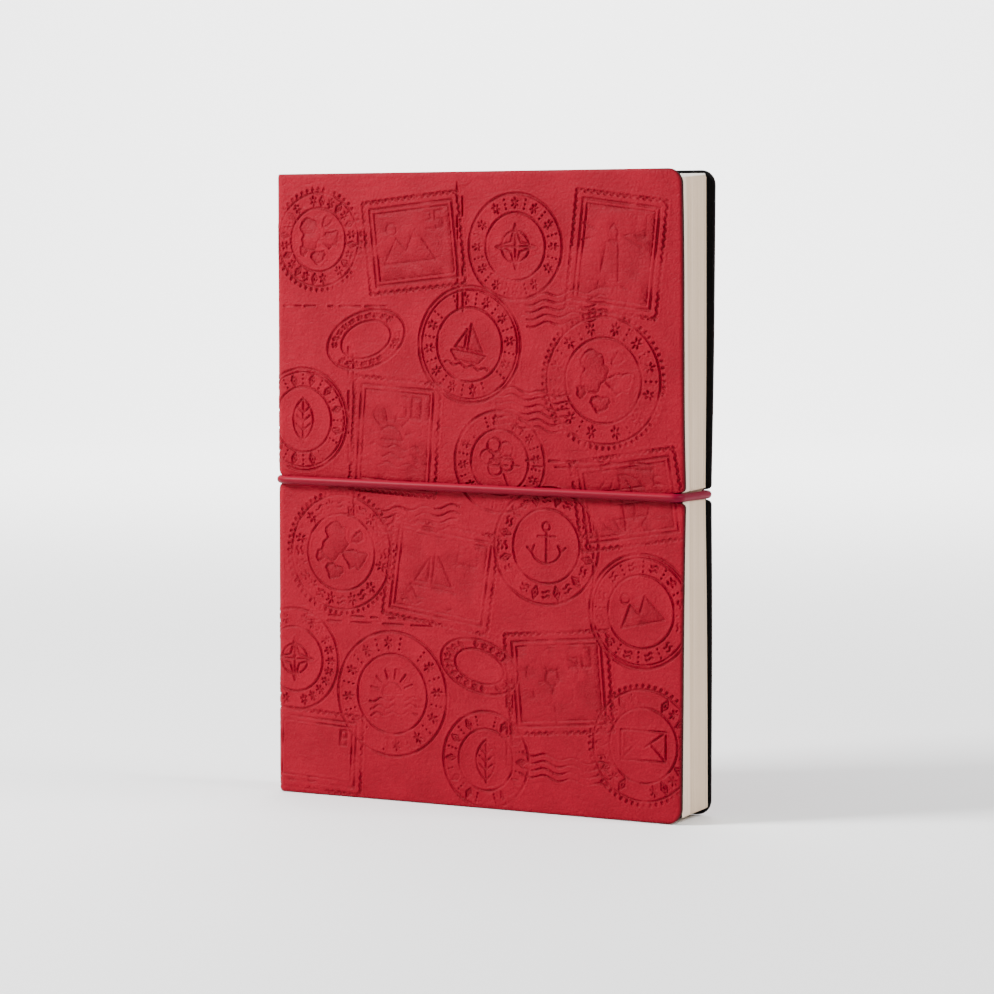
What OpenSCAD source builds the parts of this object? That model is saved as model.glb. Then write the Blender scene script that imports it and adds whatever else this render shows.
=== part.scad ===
// Soft-cover album bound with sewn sections and held shut by an elastic cord.
// It stands on its tail: +Z runs up the spine, +X from the spine to the fore-edge,
// and the front cover faces -Y. The origin is under the middle of the closed book.

/* [Covers] */
// Height of the covers, tail to head
cover_h = 170; // [130:1:230]
// Width of the covers, spine to fore-edge
cover_w = 124; // [90:1:170]
// Thickness of the closed book over both covers
book_t = 17; // [14:0.5:26]
// Radius of the two fore-edge corners of each cover
corner_r = 4; // [2:0.5:10]
// Thickness of the leatherette
skin_t = 0.4; // [0.3:0.05:0.8]
// Thickness of the flexible black card in each cover
board_t = 0.55; // [0.4:0.05:1]
// Thickness of the black paper pasted inside each cover
lining_t = 0.15; // [0.1:0.05:0.25]
// How far the covers stand past the leaves at head, tail and fore-edge
overhang = 1.5; // [1:0.1:3]

/* [Spine] */
// Outside radius of the two spine shoulders
shoulder_r = 2.6; // [2:0.1:3.5]
// Distance from the back of the spine to the line where a cover bends
hinge_in = 4; // [3.8:0.1:6]
// Slit between the spine leatherette and a cover, at the bend
hinge_slit = 0.12; // [0.05:0.01:0.3]
// Thickness of the card strip that lines the spine
spine_card_t = 0.4; // [0.2:0.05:0.6]
// Thickness of the gauze glued over the folds
mull_t = 0.25; // [0.15:0.05:0.4]
// Diameter of the sewing thread
thread_d = 0.4; // [0.3:0.05:0.6]
// Distance from the ends of the spine to the ends of the gauze
mull_end = 10; // [5:1:20]
// Distance from the ends of the spine to the first row of stitches
stitch_end = 18; // [12:1:25]
// Number of rows of stitches up the spine, an even number
stitch_rows = 6; // [4:2:8]

/* [Leaves] */
// Thickness of one leaf
leaf_t = 0.2; // [0.15:0.01:0.25]
// Air between two leaves that turn
leaf_air = 0.05; // [0.03:0.01:0.08]
// Distance from the cover's bend to the crease of the free endpaper
first_crease = 3.4; // [3.4:0.1:5]
// Step of the crease from one turning leaf to the next
crease_step = 0.8; // [0.7:0.05:1.2]
// Corner radius of the leaves at the fore-edge
leaf_corner_r = 1.5; // [0.5:0.1:4]
// Depth of the dent that the cord presses into the fore-edge of the leaves
leaf_dent = 1.15; // [1.1:0.05:1.5]
// Radius of that dent
leaf_dent_r = 4; // [3:0.5:8]

/* [Elastic cord] */
// Diameter of the cord
cord_d = 2.5; // [2:0.1:2.8]
// Radius of the cord's middle line where it turns a corner
cord_bend_r = 1.9; // [1.8:0.1:2.4]
// How far the cord stands out from the back of the spine
cord_proud = 0.75; // [0.5:0.05:1.2]
// Clearance between the cord and what it lies on
cord_clear = 0.15; // [0.1:0.01:0.25]
// Width of the notch mouth at the fore-edge of each cover
notch_mouth = 4.4; // [3.6:0.1:8]

/* [Hidden] */
$fn = 48;
section_count = 10;
leaf_count = 6;

// Layers of the cover and the spine, from outside in
cover_t = skin_t + board_t + lining_t;
layer_gap = 0.02;
spine_card_at = skin_t + layer_gap;
mull_at = spine_card_at + spine_card_t + layer_gap;
thread_at = mull_at + mull_t + layer_gap;
fold_at = thread_at + thread_d + layer_gap;

// Leaf block inside the covers
block_z0 = overhang;
block_z1 = cover_h - overhang;
block_x1 = cover_w - overhang;
block_y0 = cover_t + leaf_air;
leaf_pitch = leaf_t + leaf_air;
sections_y0 = block_y0 + (leaf_count + 1) * leaf_pitch;
sections_y1 = book_t - block_y0 - leaf_pitch;
section_pitch = (sections_y1 - sections_y0) / section_count;
section_t = section_pitch - leaf_air / 2;
crease_slit = 0.1;

// Middle line of the cord, a rounded rectangle round the book at half height
cord_r = cord_d / 2;
cord_z = cover_h / 2;
cord_lift = cord_clear;
cord_x0 = cord_r - cord_proud;
cord_x1 = cover_w - cord_r;
cord_y0 = -cord_r - cord_lift;
cord_y1 = book_t + cord_r + cord_lift;

// Notch: a round bottom just behind the cord's bend, opening to the mouth
notch_r = cord_r + 0.15;
notch_x = cord_x1 - cord_bend_r + notch_r - 0.15;

origin_x = (cover_w - cord_proud) / 2;
origin_y = book_t / 2;

leather_red = [0.72, 0.16, 0.20];
cord_red = [0.62, 0.14, 0.20];
card_black = [0.06, 0.06, 0.06];
paper_cream = [0.84, 0.80, 0.73];
gauze_white = [0.90, 0.89, 0.85];

function two_digits(i) = str(i < 10 ? "0" : "", i);
function leaf_name(i) = str("leaf_", two_digits(i));
function section_name(i) = str("section_", two_digits(i));
function crease_x(i) = hinge_in + first_crease + i * crease_step;
function leaf_y(i) = block_y0 + i * leaf_pitch;
function section_y(n) = sections_y0 + (n - 1) * section_pitch;

// Where the margin of leaf i starts, inside the round shoulder of the gauze
function root_x(i) = let (
    r = shoulder_r - mull_at - mull_t - layer_gap,
    drop = max(0, shoulder_r - leaf_y(i)))
    max(fold_at, shoulder_r - sqrt(max(0, r * r - drop * drop)));

module place() translate([-origin_x, -origin_y, 0]) children();

// Moves a piece of the front half to the back half
module to_back() translate([0, book_t, 0]) mirror([0, 1, 0]) children();

// Upright plate: an X-Z outline given thickness towards +Y
module plate(y, t) translate([0, y + t, 0]) rotate([90, 0, 0]) linear_extrude(t) children();

// Outline with a straight left side and two round corners on the right
module leaf_outline(x0, x1, z0, z1, r) {
    translate([x0, z0]) square([x1 - x0 - r, z1 - z0]);
    translate([x0, z0 + r]) square([x1 - x0, z1 - z0 - 2 * r]);
    for (z = [z0 + r, z1 - r]) translate([x1 - r, z]) circle(r);
}

module notch_outline() {
    translate([notch_x, cord_z]) circle(notch_r);
    polygon([[notch_x, cord_z - notch_r], [cover_w, cord_z - notch_mouth / 2],
             [cover_w + 1, cord_z - notch_mouth / 2], [cover_w + 1, cord_z + notch_mouth / 2],
             [cover_w, cord_z + notch_mouth / 2], [notch_x, cord_z + notch_r]]);
}

module cover_outline() difference() {
    leaf_outline(hinge_in + hinge_slit, cover_w, 0, cover_h, corner_r);
    notch_outline();
}

module paper_outline(x0) difference() {
    leaf_outline(x0, block_x1, block_z0, block_z1, leaf_corner_r);
    translate([block_x1 - leaf_dent + leaf_dent_r, cord_z]) circle(leaf_dent_r);
}

// Front cover in its three layers
module cover_skin() color(leather_red) plate(0, skin_t) cover_outline();
module cover_board() color(card_black) plate(skin_t, board_t) cover_outline();
module cover_lining() color(card_black) plate(skin_t + board_t, lining_t) cover_outline();

// A quarter turn of the cord
module cord_corner(x, y, turn)
    translate([x, y, cord_z]) rotate([0, 0, turn]) rotate_extrude(angle = 90)
        translate([cord_bend_r, 0]) circle(cord_r);

// A straight run of the cord, or the room for it with extra added all round
module cord_run(from, axis, length, extra = 0)
    translate(from) rotate(axis) cylinder(r = cord_r + extra, h = length);

module cord_loop() {
    b = cord_bend_r;
    cord_corner(cord_x0 + b, cord_y0 + b, 180);
    cord_corner(cord_x1 - b, cord_y0 + b, 270);
    cord_corner(cord_x1 - b, cord_y1 - b, 0);
    cord_corner(cord_x0 + b, cord_y1 - b, 90);
    for (y = [cord_y0, cord_y1])
        cord_run([cord_x0 + b, y, cord_z], [0, 90, 0], cord_x1 - cord_x0 - 2 * b);
    for (x = [cord_x0, cord_x1])
        cord_run([x, cord_y0 + b, cord_z], [-90, 0, 0], cord_y1 - cord_y0 - 2 * b);
}

// The spine as a solid block inset by t, reaching past its open sides by over.
// A round groove across its back gives room for the cord.
module spine_block(t, over = 0) difference() {
    translate([0, 0, -over]) linear_extrude(cover_h + 2 * over) intersection() {
        union() {
            translate([t, shoulder_r]) square([hinge_in + over - t, book_t - 2 * shoulder_r]);
            translate([shoulder_r, t]) square([hinge_in + over - shoulder_r, book_t - 2 * t]);
            for (y = [shoulder_r, book_t - shoulder_r])
                translate([shoulder_r, y]) circle(shoulder_r - t);
        }
        square([hinge_in + over, book_t]);
    }
    cord_groove(t);
}

// Straight groove for the cord across the back of the spine, t below its outside
module cord_groove(t)
    cord_run([cord_x0, -cord_d, cord_z], [-90, 0, 0], book_t + 2 * cord_d, cord_clear + t);

// One layer of the spine, from depth a to depth b under its outside
module spine_layer(a, b) difference() {
    spine_block(a);
    spine_block(b, 1);
}

module spine_skin() color(leather_red) spine_layer(0, skin_t);
module spine_card() color(card_black) spine_layer(spine_card_at, spine_card_at + spine_card_t);
module spine_mull() color(gauze_white) intersection() {
    spine_layer(mull_at, mull_at + mull_t);
    translate([0, 0, mull_end]) cube([hinge_in, book_t, cover_h - 2 * mull_end]);
}

// Rows of stitches that link the folds, clear of the cord's groove
module sewing_thread() color(gauze_white)
    for (n = [0:stitch_rows - 1]) {
        z = stitch_end + n * (cover_h - 2 * stitch_end) / (stitch_rows - 1);
        translate([thread_at + thread_d / 2, sections_y0 + section_t / 2, z]) rotate([-90, 0, 0])
            cylinder(d = thread_d, h = sections_y1 - sections_y0 - section_pitch);
    }

// A sewn section: folded leaves with a round fold towards the spine
module section(n) color(paper_cream) difference() {
    union() {
        plate(section_y(n), section_t) paper_outline(fold_at + section_t / 2);
        translate([fold_at + section_t / 2, section_y(n) + section_t / 2, block_z0])
            cylinder(d = section_t, h = block_z1 - block_z0);
    }
    cord_groove(fold_at);
}

// A leaf that turns: leaf 0 is the endpaper's free leaf
module leaf(i) plate(leaf_y(i), leaf_t) paper_outline(crease_x(i));

// The sewn-in margin of leaf i, between the fold and its crease
module leaf_root(i) difference() {
    translate([root_x(i), leaf_y(i), block_z0])
        cube([crease_x(i) - crease_slit - root_x(i), leaf_pitch, block_z1 - block_z0]);
    cord_groove(fold_at);
}

module elastic_cord() color(cord_red) cord_loop();

place() cover_skin();  // front_cover_skin
place() cover_board();  // front_cover_board
place() cover_lining();  // front_cover_lining
place() to_back() cover_skin();  // back_cover_skin
place() to_back() cover_board();  // back_cover_board
place() to_back() cover_lining();  // back_cover_lining
place() spine_skin();
place() spine_card();
place() spine_mull();
place() sewing_thread();
place() elastic_cord();
place() color(card_black) leaf(0);  // front_flyleaf
place() color(card_black) to_back() leaf(0);  // back_flyleaf
place() color(card_black) leaf_root(0);  // front_flyleaf_root
place() color(card_black) to_back() leaf_root(0);  // back_flyleaf_root
place() color(paper_cream) for (i = [1:leaf_count]) leaf_root(i);  // leaf_roots
for (i = [1:leaf_count])
    place() color(paper_cream) leaf(i);
for (n = [1:section_count])
    place() section(n);
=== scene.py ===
# %% [markdown]
# # A soft-cover album in embossed red leatherette
# The album is a sewn block of cream leaves in a flexible cover, held shut by a round elastic cord.
# The imported model gives every size and every hinge. This script gives each piece its real surface:
# the cover as one embossed sheet that wraps the spine, the leaves as sheets of paper, and a smooth
# cord that nips the book at half height. All lengths below are in millimetres until a mesh is made,
# because a bookbinder thinks in millimetres and Blender in metres.

# %% Load the frame
import math

import bmesh
import bpy
import numpy as np
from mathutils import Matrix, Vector


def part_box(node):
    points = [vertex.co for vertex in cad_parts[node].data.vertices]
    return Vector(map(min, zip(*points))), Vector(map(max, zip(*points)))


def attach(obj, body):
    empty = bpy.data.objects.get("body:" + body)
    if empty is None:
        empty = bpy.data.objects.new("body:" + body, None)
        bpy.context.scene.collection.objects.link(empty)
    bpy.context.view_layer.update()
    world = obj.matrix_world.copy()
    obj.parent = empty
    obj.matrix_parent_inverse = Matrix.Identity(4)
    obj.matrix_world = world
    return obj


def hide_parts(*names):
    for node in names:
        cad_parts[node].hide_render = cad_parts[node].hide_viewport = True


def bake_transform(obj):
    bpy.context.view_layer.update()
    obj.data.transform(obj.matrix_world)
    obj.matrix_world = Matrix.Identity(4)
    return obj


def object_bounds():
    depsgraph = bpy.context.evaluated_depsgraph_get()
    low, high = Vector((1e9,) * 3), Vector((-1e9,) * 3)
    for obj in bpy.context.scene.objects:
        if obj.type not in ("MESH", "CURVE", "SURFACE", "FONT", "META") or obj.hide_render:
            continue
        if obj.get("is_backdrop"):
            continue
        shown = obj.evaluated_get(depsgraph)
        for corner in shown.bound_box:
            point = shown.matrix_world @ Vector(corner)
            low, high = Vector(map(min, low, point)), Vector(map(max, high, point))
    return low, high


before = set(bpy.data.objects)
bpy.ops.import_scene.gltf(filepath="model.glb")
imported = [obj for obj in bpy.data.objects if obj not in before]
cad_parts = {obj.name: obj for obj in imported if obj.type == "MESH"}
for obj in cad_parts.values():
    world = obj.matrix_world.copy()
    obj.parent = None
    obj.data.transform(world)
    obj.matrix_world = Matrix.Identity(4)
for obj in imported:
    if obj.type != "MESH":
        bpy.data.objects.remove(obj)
cad_box = [list(corner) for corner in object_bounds()]
MM = 0.001
print("box of the frame in mm:", [[round(v / MM, 2) for v in corner] for corner in cad_box])

# %% [markdown]
# ## Sizes taken from the frame
# The main lengths could be typed in, but then the looks would drift away from the model when a
# size changes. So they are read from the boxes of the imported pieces. `x` is measured from the back
# of the spine towards the fore-edge, `y` from the front face to the back face, and `z` from the tail
# of the book to its head.

# %% Read the sizes


def box_mm(node):
    """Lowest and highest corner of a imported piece, in millimetres."""
    low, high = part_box(node)
    return np.array(low) / MM, np.array(high) / MM


skin_low, skin_high = box_mm("front_cover_skin")
spine_low, spine_high = box_mm("spine_skin")
board_low, board_high = box_mm("front_cover_board")
lining_low, lining_high = box_mm("front_cover_lining")
cord_low, cord_high = box_mm("elastic_cord")
SPINE_X = spine_low[0]
WIDTH = skin_high[0] - SPINE_X
HEIGHT = skin_high[2]
MID_Z = HEIGHT / 2
HALF = spine_high[1]
HINGE = skin_low[0] - SPINE_X
SKIN_T = skin_high[1] - skin_low[1]
BOARD_T = board_high[1] - board_low[1]
LINING_T = lining_high[1] - lining_low[1]
COVER_T = SKIN_T + BOARD_T + LINING_T
CORD_R = 0.88 * (cord_high[2] - cord_low[2]) / 2
print(f"cover {WIDTH:.1f} x {HEIGHT:.1f}, book {2 * HALF:.1f} thick, cover {COVER_T:.2f} thick")

# %% [markdown]
# ## One small class for shader maths
# A material is easier to read as arithmetic than as a list of links. `Value` wraps a socket and
# turns `+`, `-`, `*` and so on into Math nodes, also when a plain number stands first. `Finish`
# starts a material and makes any other node from its type, its settings and its inputs.

# %% Shader maths as Python expressions


class Value:
    """A number that varies over the surface. Arithmetic on it adds Math nodes."""

    def __init__(self, finish, socket):
        self.finish = finish
        self.socket = socket

    def math(self, operation, *others):
        """A Math node with this value in its first socket and the others in the next."""
        return self.finish.node("ShaderNodeMath", {"operation": operation}, [self, *others])

    def __add__(self, other):
        return self.math("ADD", other)

    def __mul__(self, other):
        return self.math("MULTIPLY", other)

    def __sub__(self, other):
        return self.math("SUBTRACT", other)

    def __rsub__(self, other):
        return self.finish.node("ShaderNodeMath", {"operation": "SUBTRACT"}, [other, self])

    __radd__ = __add__
    __rmul__ = __mul__

    def between(self, low, high):
        """0 below low, 1 above high, and a straight ramp from one to the other."""
        settings = {"clamp": True}
        return self.finish.node("ShaderNodeMapRange", settings, [self, low, high, 0.0, 1.0])


class Finish:
    """A material under construction."""

    def __init__(self, name):
        self.material = bpy.data.materials.new(name)
        self.material.use_nodes = True
        self.tree = self.material.node_tree
        self.tree.nodes.clear()

    def node(self, kind, settings=None, inputs=(), output=0):
        """Adds a node: its settings first, then its inputs by place or by name."""
        made = self.tree.nodes.new(kind)
        for key, value in (settings or {}).items():
            setattr(made, key, value)
        pairs = inputs.items() if isinstance(inputs, dict) else enumerate(inputs)
        for key, value in pairs:
            self.feed(made.inputs[key], value)
        return Value(self, made.outputs[output])

    def feed(self, socket, value):
        """Links a value to a socket, or sets a plain number or colour on it."""
        if isinstance(value, Value):
            self.tree.links.new(value.socket, socket)
        else:
            socket.default_value = value

    def place(self, scale=(1.0, 1.0, 1.0)):
        """The point on the object in millimetres, stretched by scale."""
        at = self.node("ShaderNodeTexCoord", output=3)
        per_mm = tuple(s / MM for s in scale)
        return self.node("ShaderNodeMapping", {}, {"Vector": at, "Scale": per_mm})

    def noise(self, scale, detail=2.0, stretch=(1.0, 1.0, 1.0)):
        """Soft patches from 0 to 1, scale of them in a millimetre, finer along a larger stretch."""
        inputs = {"Vector": self.place(stretch), "Scale": scale, "Detail": detail}
        return self.node("ShaderNodeTexNoise", {}, inputs)

    def mix(self, share, first, second):
        """Blends two colours: the first where share is 0, the second where it is 1."""
        made = self.tree.nodes.new("ShaderNodeMix")
        made.data_type = "RGBA"
        made.clamp_factor = True
        colour_inputs = [s for s in made.inputs if s.type == "RGBA"]
        for socket, value in zip([made.inputs[0], *colour_inputs], (share, first, second)):
            self.feed(socket, value)
        return Value(self, next(s for s in made.outputs if s.type == "RGBA"))

    def bump(self, height, depth_mm):
        """A surface that seems depth_mm deep where height goes from 0 to 1."""
        return self.node("ShaderNodeBump", {}, {"Height": height, "Distance": depth_mm * MM})

    def done(self, **inputs):
        """Ends the material in one Principled surface. Names are written with _ for a space."""
        surface = self.tree.nodes.new("ShaderNodeBsdfPrincipled")
        for key, value in inputs.items():
            self.feed(surface.inputs[key.replace("_", " ")], value)
        output = self.tree.nodes.new("ShaderNodeOutputMaterial")
        self.tree.links.new(surface.outputs[0], output.inputs["Surface"])
        return self.material

# %% Colours by their numbers on screen


def rgb(red, green, blue):
    """A colour picked on screen, 0 to 255, as the linear values that Blender's sockets take."""

    def linear(c):
        c /= 255
        return c / 12.92 if c <= 0.04045 else ((c + 0.055) / 1.055) ** 2.4

    return (linear(red), linear(green), linear(blue), 1.0)


print("mid grey on screen is", round(rgb(128, 128, 128)[0], 3), "in a socket")

# %% [markdown]
# ## Leatherette
# The cover is a paper-backed sheet with a thin red plastic coat, rolled with a fine leather grain.
# Heat embossing pushes lines into it and leaves them darker and a little shinier than the face.
# A scanned leather texture would give a grain too, but it repeats, and it blurs from close by.
# Noise and cells made by the shader stay sharp at any distance.
#
# The grain is bump only, because its cells are far smaller than any mesh. The embossed lines are
# real geometry. Two attributes of the mesh tell the material where it is: `pressed` says how deep
# each point lies, and the other is 1 along the cut fore-edge and about half that in a strip just
# below the cord. Both places are painted darker. At the fore-edge this is partly a darker cut edge
# and partly painted shade, and below the cord it is a painted shadow of the cord. Creases, pores and
# wrinkles each come from their own texture and are added into one height.

# %% Make the leatherette


def leatherette():
    f = Finish("red_leatherette")
    warp = f.noise(0.3, 3.0) * 2.2
    point = f.node("ShaderNodeVectorMath", {"operation": "ADD"}, [f.place(), warp])
    cells = f.node(
        "ShaderNodeTexVoronoi", {"feature": "DISTANCE_TO_EDGE"}, {"Vector": point, "Scale": 0.85}
    )
    creases = 1 - cells.between(0.0, 0.3)
    pores = f.noise(2.2, 3.0)
    swell = f.noise(0.09, 3.0)
    lying = f.noise(0.75, 4.0, (0.4, 0.4, 1.15))
    standing = f.noise(0.7, 4.0, (1.1, 1.1, 0.45))
    folds = f.noise(0.2, 4.0, (0.8, 0.8, 1.1))
    middle = f.node("ShaderNodeMath", {"operation": "ABSOLUTE"}, [folds - 0.5])
    wrinkle = 1 - middle.between(0.0, 0.05)
    pressed = f.node("ShaderNodeAttribute", {"attribute_name": "pressed"}, output=2)
    face = f.mix(swell.between(0.3, 0.7), rgb(119, 3, 25), rgb(131, 4, 29))
    mottle = lying.between(0.35, 0.7) * 0.35 + pores.between(0.35, 0.75) * 0.3 + wrinkle * 0.15
    face = f.mix(creases * 0.1 + mottle * 0.4, face, rgb(102, 1, 16))
    sunk = pressed.between(0.04, 0.2) * 0.17
    colour = f.mix(sunk + pressed.between(0.2, 1.0) * 0.14, face, rgb(80, 1, 12))
    # Painted shade: the colour goes towards a near-black red along the cut fore-edge, which is
    # partly a darker cut edge, and in a painted shadow just below the cord.
    dark_edge_and_cord_shadow = f.node("ShaderNodeAttribute", {"attribute_name": "dark_edge_and_cord_shadow"}, output=2)
    colour = f.mix(dark_edge_and_cord_shadow * 0.85, colour, rgb(46, 2, 8))
    rough = 0.5 + pores * 0.14 + swell * 0.06 - pressed * 0.06
    hammered = pressed.between(0.04, 0.3) * (pores * 1.1 + lying * 0.6)
    grain = hammered + (1 - creases) * 0.4 + pores * 0.75
    grain = grain - wrinkle * 0.35 + lying * 1.3 + standing * 0.7 + swell * 0.7
    return f.done(
        Base_Color=colour,
        Roughness=rough,
        Normal=f.bump(grain, 0.125),
        Specular_IOR_Level=0.08,
    )


LEATHERETTE = leatherette()
print("material", LEATHERETTE.name)

# %% [markdown]
# ## Paper, card, cord, gauze and thread
# Each of these could be one flat colour, but plain colours make a book look like plastic.
# Cut paper edges are never one flat cream: each leaf catches the light a little differently, so very
# fine streaks run along the stack. A band along the head is painted paler as a painted highlight,
# and the first leaves are a paler copy of the paper, painted light. Black card and endpaper are matt
# with a dusty fibre. The cord has a smooth dyed cover with a soft shine. Two attributes shade it.
# One is 1 on its top, which is painted a lighter red as light from above, while its underside is
# painted a darker red as shade. The other, `turned`, is 1 where it runs round the fore-edge and
# gives it one darker red there.

# %% Make the other materials
# The height above which the tops of the leaves are painted paler, a painted highlight along the
# head.
HEAD_HIGHLIGHT_Z = 168.2


def leaf_paper(name, light, dark, streaks):
    f = Finish(name)
    stack = f.noise(1.0, 3.0, (0.02, 5.5, 0.02))
    fibre = f.noise(2.2, 3.0)
    patch = f.noise(0.06, 2.0)
    share = stack * streaks + fibre * 0.25 + patch * 0.35
    colour = f.mix(share.between(0.25, 1.0), light, dark)
    from_front, up = (f.node("ShaderNodeSeparateXYZ", {}, [f.place()], k) for k in (1, 2))
    tilt = 0.5 - from_front.between(-HALF, HALF)
    # Painted highlight: a band along the head is painted paler. It slants a little from the front of
    # the block to its back.
    head_highlight = (up + tilt).between(HEAD_HIGHLIGHT_Z - 0.15, HEAD_HIGHLIGHT_Z + 0.15)
    colour = f.mix(head_highlight, colour, rgb(251, 243, 232))
    height = f.bump(stack * 0.8 + fibre * 0.4, 0.02)
    return f.done(Base_Color=colour, Roughness=0.88, Normal=height, Specular_IOR_Level=0.2)


def black_card(name, rough):
    f = Finish(name)
    fibre = f.noise(1.6, 3.0)
    colour = f.mix(fibre, rgb(5, 5, 6), rgb(12, 11, 12))
    return f.done(
        Base_Color=colour,
        Roughness=rough + fibre * 0.1,
        Normal=f.bump(fibre, 0.02),
        Specular_IOR_Level=0.1,
    )


def cord_cover():
    f = Finish("red_cord")
    soft = f.noise(0.5, 2.0)
    fine = f.noise(6.0, 2.0)
    turned = f.node("ShaderNodeAttribute", {"attribute_name": "turned"}, output=2)
    painted_top_light = f.node("ShaderNodeAttribute", {"attribute_name": "painted_top_light"}, output=2)
    # Painted light: the top of the cord is painted a lighter red and its underside a darker red, as
    # light from above would show them.
    colour = f.mix(painted_top_light.between(0.4, 0.9) * 0.85 + soft * 0.15, rgb(94, 1, 22), rgb(134, 4, 34))
    colour = f.mix(turned, colour, rgb(101, 2, 32))
    return f.done(
        Base_Color=colour,
        Roughness=0.42 + fine * 0.08,
        Normal=f.bump(fine, 0.012),
        Specular_IOR_Level=0.08,
    )


def gauze_cloth():
    f = Finish("cotton_gauze")
    warp, weft = (
        f.node("ShaderNodeTexWave", {"bands_direction": way}, {"Vector": f.place(), "Scale": 0.45})
        for way in "YZ"
    )
    threads = warp.math("MAXIMUM", weft)
    colour = f.mix(threads, rgb(190, 184, 166), rgb(232, 229, 218))
    return f.done(Base_Color=colour, Roughness=0.9, Normal=f.bump(threads, 0.08))


def waxed_thread():
    f = Finish("waxed_thread")
    twist = f.noise(4.0, 2.0)
    return f.done(Base_Color=f.mix(twist, rgb(205, 198, 180), rgb(236, 232, 220)), Roughness=0.6)


PAPER = leaf_paper("cream_paper", rgb(214, 191, 168), rgb(192, 168, 143), 0.6)
# A paler copy of the paper for the first leaves: painted light where the leaves next to the front
# cover catch it.
PAINTED_LIGHT_PAPER = leaf_paper("painted_light_cream_paper", rgb(226, 206, 186), rgb(206, 184, 160), 0.5)
CARD = black_card("black_card", 0.62)
ENDPAPER = black_card("black_endpaper", 0.8)
CORD = cord_cover()
GAUZE = gauze_cloth()
THREAD = waxed_thread()
print("materials:", sorted(m.name for m in bpy.data.materials))

# %% [markdown]
# ## The sheet that wraps the book
# The leatherette is one sheet. It runs over the front cover, round the first shoulder, across the
# spine, round the second shoulder and over the back cover. A point on it has two flat coordinates:
# `q`, the distance from the middle of the spine measured along the sheet (positive towards the
# front), and `z`. A modifier could bend a flat plane, but it would also stretch the embossing round
# the shoulders. Instead `lay` carries each flat point to the real book at its true distance. It
# takes a depth under the outside, so it also lays the card, the lining and the gauze.
#
# Two things keep the book from being a plain box. The cord pulls the sheet into a groove where it
# crosses the spine, and the flexible covers spring outwards away from the cord.

# %% Name the sizes of the sheet and the cord
SHOULDER = 2.6
FLAT = HALF - SHOULDER
ARC = SHOULDER * math.pi / 2
CORNER = 4.0
CORD_X = 1.25 + cord_low[0] - SPINE_X
CORD_END = cord_high[0] - SPINE_X - CORD_R
CORD_RISE = 1.45
CORD_LIFT = 0.05
CORD_BEND = {"spine": 4.4, "edge": 1.9}
NOTCH_X = cord_high[0] - SPINE_X - CORD_BEND["edge"]
NOTCH_R = CORD_R + 0.2
EDGE_Q = WIDTH - SHOULDER + FLAT + ARC
HINGE_Q = HINGE - SHOULDER + FLAT + ARC
# Each notch widens over its last FLARE, to MOUTH above and below the middle of the cover.
MOUTH = 2.6
FLARE = 1.7
# A sprung cover stands a hair further out at the fore-edge than a flat one.
FRONT_GAIN, BACK_GAIN = 0.08, 0.16
# The groove of the cord belongs to the spine. It ends between these two distances from the back,
# and past them a point counts as far inside the cord's line.
DENT_FADES, DENT_END, FAR_INSIDE = 10, 14, 9
# A cover is stiff up to this distance from the back. For each cover, NIP then gives four numbers
# above the cord and four below it: how far it springs out beside the cord, over what height, how
# sharply, and how far it bows towards the end.
STIFF = 12
NIP = {
    "front": ((1.5, 16, 1.5, 1.6), (1.1, 20, 1.2, 0.6)),
    "back": ((1.35, 26, 1.6, 0.5), (0.85, 24, 1.5, -0.2)),
}
print(f"the sheet is {2 * EDGE_Q:.1f} wide and {HEIGHT:.1f} high")

# %% Follow the cord


def cord_height(x):
    """The cord lies a little askew: it is higher at the spine than in the notches."""
    return MID_Z + CORD_RISE * (1 - x / CORD_END)


def cord_distance(x, y):
    """How far a point lies outside the middle line of the cord, seen from above."""
    bend = CORD_BEND["spine"]
    low = -CORD_R - CORD_LIFT
    across = CORD_X + bend - x
    beside = low + bend - np.minimum(y, 2 * HALF - y)
    corner = np.hypot(np.clip(across, 0, None), np.clip(beside, 0, None))
    return corner + np.minimum(np.maximum(across, beside), 0) - bend


def cord_dent(z, outside=CORD_X):
    """How deep the cord has pulled the sheet in at height z, where the sheet would lie that far
    outside the cord's middle line."""
    room, steep = CORD_R + 0.05, 0.94 * CORD_R
    off = np.abs(z - cord_height(2.0))
    side = math.sqrt(room**2 - steep**2)
    under = outside + np.sqrt(np.clip(room**2 - off**2, side**2, None))
    fade = np.maximum(0.35, 0.5 * (outside + side))
    beside = np.clip(outside + side, 0, None) * np.exp((steep - off) / fade)
    return np.clip(np.where(off < steep, under, beside), 0, None)


print(f"the cord pulls the spine in by {float(cord_dent(cord_height(2.0))):.1f}")

# %% Let the covers spring apart


def splay(x, z, side):
    """How far a cover springs out of its plane, more and more away from the cord."""
    share = np.clip((x - STIFF) / (WIDTH - STIFF), 0, 1) ** 1.7
    off = np.abs(z - MID_Z)
    up, down = (
        nip * (1 - np.exp(-((off / reach) ** power))) + bow * (off / MID_Z) ** (4 if bow > 1 else 2)
        for nip, reach, power, bow in NIP[side]
    )
    return share * np.where(z > MID_Z, up, down)


def spread(points):
    """Moves points between the covers with them, in proportion to how near each cover they are."""
    x, y, z = (points[..., k] for k in range(3))
    front = np.clip((HALF - y) / HALF, 0, 1)
    back = np.clip((y - HALF) / HALF, 0, 1)
    y = y - front * splay(x, z, "front") + back * splay(x, z, "back")
    return np.stack([x, y, z], -1)


print(f"the front cover springs out by {float(splay(WIDTH, HEIGHT, 'front')):.1f} at the head")

# %% Wrap the flat sheet round the book


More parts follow.
